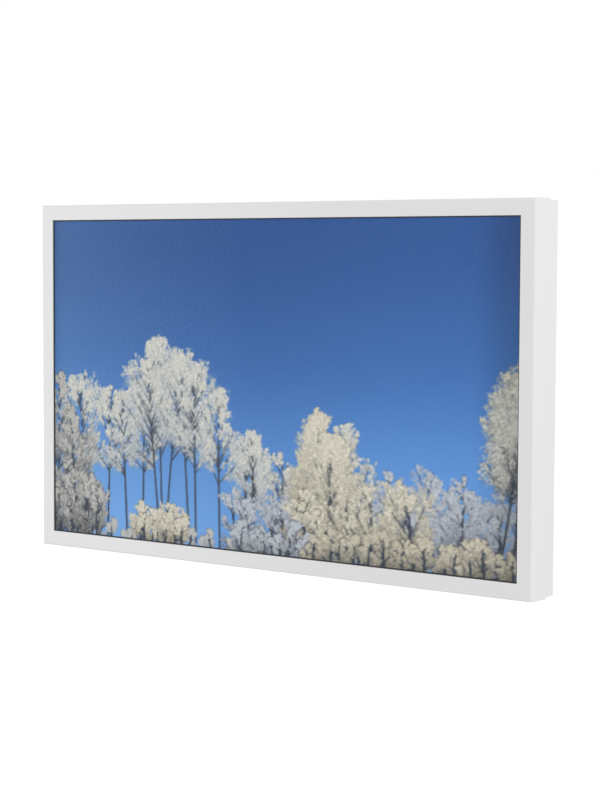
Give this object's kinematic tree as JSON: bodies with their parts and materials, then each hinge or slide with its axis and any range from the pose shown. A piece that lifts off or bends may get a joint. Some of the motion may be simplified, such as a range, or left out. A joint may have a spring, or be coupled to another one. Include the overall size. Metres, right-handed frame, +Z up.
{
  "type": "led panel light",
  "caption": "Wall-hung LED picture light panel: white hinged front frame with clear cover over a shallow wall box with an edge-lit picture.",
  "frame": {"origin": "centre of the wall rail's four screw holes, on the wall plane", "axes": "+Z up, +Y into the wall, +X to the right seen from the room, so the picture faces -Y"},
  "size_m": [1.1609, 0.074, 0.6755],
  "materials": {
    "white_powder": "semi-gloss powder coat",
    "zinc_steel": "zinc-plated",
    "mill_aluminium": "mill finish, extruded",
    "screw_steel": "plated",
    "nickel": "nickel-plated",
    "brass": "plain",
    "black_rubber": "matt",
    "white_film": "matt white",
    "opal": "opal, matt",
    "clear_acrylic": "clear, polished",
    "printed_film": null,
    "board_white": "white solder mask",
    "led_phosphor": "yellow phosphor",
    "ivory_plastic": "moulded",
    "grey_lid": "grey paint",
    "wire_red": "PVC",
    "wire_brown": "PVC",
    "magnet_dark": "moulded"
  },
  "bodies": {
    "wall_rail": {"wall_rail": "mill_aluminium"},
    "cabinet": {"wall_box": "white_powder", "hanging_rail": "mill_aluminium", "hanging_rivets": "zinc_steel", "corner_gussets": "zinc_steel", "wall_bumpers": "black_rubber", "light_tray": "zinc_steel", "tray_standoffs": "zinc_steel", "tray_screws": "screw_steel", "reflector_sheet": "white_film", "light_guide": "clear_acrylic", "diffuser_sheet": "opal", "picture_film": "printed_film", "heat_rail_top": "mill_aluminium", "heat_rail_bottom": "mill_aluminium", "led_board_top": "board_white", "led_board_bottom": "board_white", "leds_top": "led_phosphor", "leds_bottom": "led_phosphor", "led_connectors": "ivory_plastic", "led_wire_top": "wire_red", "led_wire_bottom": "wire_red", "driver_case": "zinc_steel", "driver_lid": "grey_lid", "driver_screws": "screw_steel", "terminal_block": "ivory_plastic", "terminal_screws": "screw_steel", "mains_wires": "wire_brown", "earth_stud": "brass", "cable_grommet": "black_rubber", "hinge_leaves_box": "zinc_steel", "hinge_pins": "zinc_steel", "strike_plates": "zinc_steel", "catch_magnets": "magnet_dark"},
    "door": {"front_frame": "white_powder", "cover_gasket": "black_rubber", "clear_cover": "clear_acrylic", "retainer_top": "mill_aluminium", "retainer_bottom": "mill_aluminium", "retainer_left": "mill_aluminium", "retainer_right": "mill_aluminium", "retainer_studs": "brass", "retainer_nuts": "screw_steel", "hinge_leaves_door": "zinc_steel", "hinge_rivets": "zinc_steel", "catch_plates": "zinc_steel", "lock_housings": "nickel", "lock_nuts": "nickel"},
    "lock_right": {"lock_plug_right": "nickel", "lock_hook_right": "screw_steel"},
    "lock_left": {"lock_plug_left": "nickel", "lock_hook_left": "screw_steel"}
  },
  "joints": [
    {"name": "panel_lift", "type": "slide", "parent": "wall_rail", "child": "cabinet", "axis": [0, 0, 1], "range_m": [0, 0.0145]},
    {"name": "door_swing", "type": "hinge", "parent": "cabinet", "child": "door", "pos_m": [-0.5807, -0.0265, -0.207], "axis": [0, 0, -1], "range_deg": [0, 105]},
    {"name": "lock_right_turn", "type": "hinge", "parent": "door", "child": "lock_right", "pos_m": [0.467, -0.038, -0.544], "axis": [0, 0, 1], "range_deg": [0, 40]},
    {"name": "lock_left_turn", "type": "hinge", "parent": "door", "child": "lock_left", "pos_m": [0, -0.038, -0.544], "axis": [0, 0, 1], "range_deg": [0, 40]}
  ]
}
